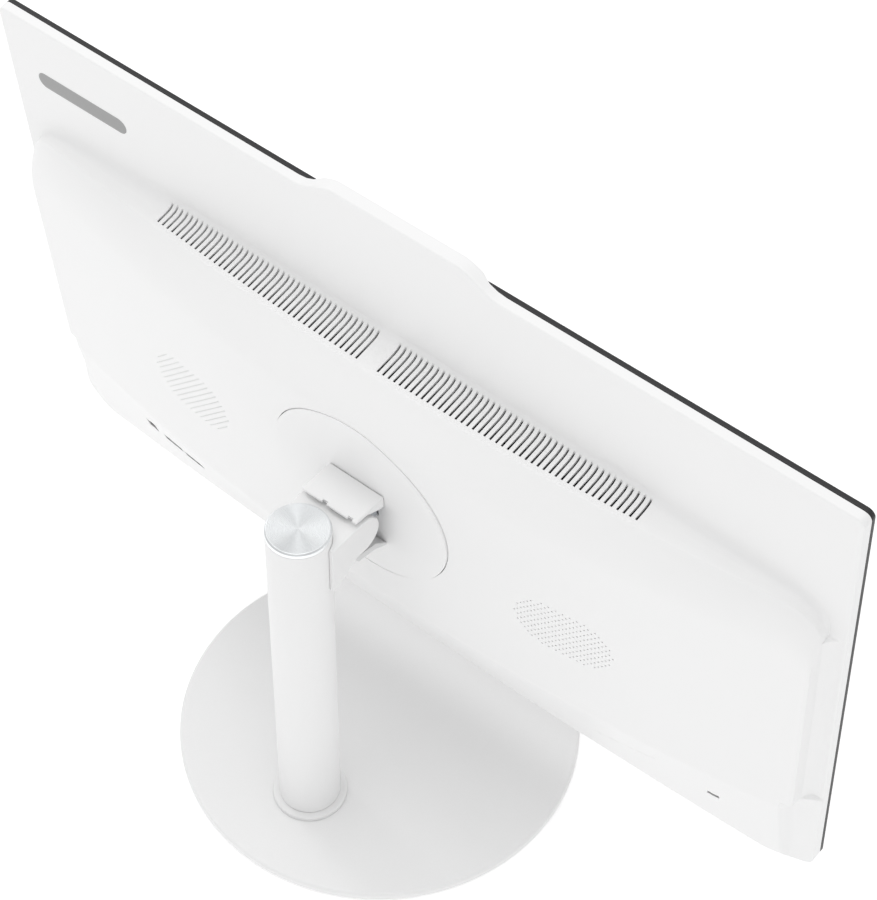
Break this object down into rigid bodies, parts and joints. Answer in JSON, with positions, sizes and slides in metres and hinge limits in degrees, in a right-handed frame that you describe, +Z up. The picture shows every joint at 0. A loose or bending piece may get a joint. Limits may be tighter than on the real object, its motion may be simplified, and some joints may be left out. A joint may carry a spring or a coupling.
{
  "type": "all in one pc",
  "caption": "All-in-one desktop computer: wide screen with a bulged, vented back on a round base with a lifting, swivelling, tilting column.",
  "frame": {"origin": "centre of the round base at the surface it stands on", "axes": "+Z up, +X along the screen's width to the viewer's right when facing the screen, -Y the way the screen faces, +Y to the column side"},
  "size_m": [0.541, 0.2374, 0.4093],
  "materials": {
    "base_plate": "satin powder coat",
    "base_pad": "matt",
    "swivel_bolt": "zinc plated",
    "swivel_washer": "matt",
    "swivel_collar": "satin",
    "inner_mast": "drawn",
    "mast_top_bushing": "matt",
    "column_sleeve": "satin",
    "sleeve_bushing": "matt",
    "column_cap": "spun, radial brushing",
    "tilt_arm": "satin",
    "tilt_axle": "ground",
    "hinge_bracket": "stamped",
    "hinge_cover": "fine matt",
    "hinge_lower_guard": "fine matt",
    "mount_disc": "fine matt",
    "mount_frame": "stamped",
    "mount_screw_1": "zinc plated",
    "mount_screw_2": "zinc plated",
    "mount_screw_3": "zinc plated",
    "mount_screw_4": "zinc plated",
    "rear_cover": "fine matt texture",
    "front_bezel": "fine matt",
    "screen_panel": "anti-glare, switched off",
    "screen_chassis": "galvanised",
    "webcam_window": "polished",
    "webcam_lens": "polished",
    "webcam_board": "solder mask",
    "webcam_shutter": "matt",
    "dc_jack": "plated",
    "hdmi_port_1": "plated",
    "hdmi_port_2": "plated",
    "side_usb_1": "plated",
    "side_usb_2": "plated",
    "audio_jack": "plated",
    "lock_anchor": "stamped",
    "power_button": "satin",
    "power_switch": "matt",
    "mainboard": "solder mask",
    "memory_module_1": "solder mask",
    "memory_module_2": "solder mask",
    "solid_state_drive": "solder mask",
    "wireless_card": "solder mask",
    "processor_cold_plate": "milled copper",
    "heat_pipe": "drawn copper",
    "cooling_fins": "rolled",
    "fan_housing": "moulded",
    "fan_rotor": "moulded",
    "hard_drive": "cast",
    "speaker_left": "moulded",
    "speaker_right": "moulded"
  },
  "bodies": {
    "base": {"base_plate": "base_plate", "base_pad": "base_pad", "swivel_bolt": "swivel_bolt", "swivel_washer": "swivel_washer"},
    "mast": {"swivel_collar": "swivel_collar", "inner_mast": "inner_mast", "mast_top_bushing": "mast_top_bushing"},
    "column": {"column_sleeve": "column_sleeve", "sleeve_bushing": "sleeve_bushing", "column_cap": "column_cap", "tilt_arm": "tilt_arm", "tilt_axle": "tilt_axle"},
    "display": {"hinge_bracket": "hinge_bracket", "hinge_cover": "hinge_cover", "hinge_lower_guard": "hinge_lower_guard", "mount_disc": "mount_disc", "mount_frame": "mount_frame", "mount_screw_1": "mount_screw_1", "mount_screw_2": "mount_screw_2", "mount_screw_3": "mount_screw_3", "mount_screw_4": "mount_screw_4", "rear_cover": "rear_cover", "front_bezel": "front_bezel", "screen_panel": "screen_panel", "screen_chassis": "screen_chassis", "webcam_window": "webcam_window", "webcam_lens": "webcam_lens", "webcam_board": "webcam_board", "dc_jack": "dc_jack", "hdmi_port_1": "hdmi_port_1", "hdmi_port_2": "hdmi_port_2", "side_usb_1": "side_usb_1", "side_usb_2": "side_usb_2", "audio_jack": "audio_jack", "lock_anchor": "lock_anchor", "power_switch": "power_switch", "mainboard": "mainboard", "memory_module_1": "memory_module_1", "memory_module_2": "memory_module_2", "solid_state_drive": "solid_state_drive", "wireless_card": "wireless_card", "processor_cold_plate": "processor_cold_plate", "heat_pipe": "heat_pipe", "cooling_fins": "cooling_fins", "fan_housing": "fan_housing", "hard_drive": "hard_drive", "speaker_left": "speaker_left", "speaker_right": "speaker_right"},
    "fan_rotor": {"fan_rotor": "fan_rotor"},
    "power_button": {"power_button": "power_button"},
    "webcam_shutter": {"webcam_shutter": "webcam_shutter"}
  },
  "joints": [
    {"name": "swivel", "type": "hinge", "parent": "base", "child": "mast", "pos_m": [0, 0.063, 0.007], "axis": [0, 0, 1], "range_deg": [-45, 45]},
    {"name": "lift", "type": "slide", "parent": "mast", "child": "column", "axis": [0, 0, 1], "range_m": [0, 0.13]},
    {"name": "tilt", "type": "hinge", "parent": "column", "child": "display", "pos_m": [0, 0.0335, 0.2305], "axis": [-1, 0, 0], "range_deg": [-10, 15]},
    {"name": "fan_spin", "type": "hinge", "parent": "display", "child": "fan_rotor", "pos_m": [0.17, -0.01592, 0.26562], "axis": [0, 0.9959, -0.0906], "continuous": true},
    {"name": "power_press", "type": "slide", "parent": "display", "child": "power_button", "axis": [0, 0.0906, 0.9959], "range_m": [0, 0.0012], "stiffness_N_per_m": 600},
    {"name": "shutter_slide", "type": "slide", "parent": "display", "child": "webcam_shutter", "axis": [-1, 0, 0], "range_m": [0, 0.01]}
  ]
}
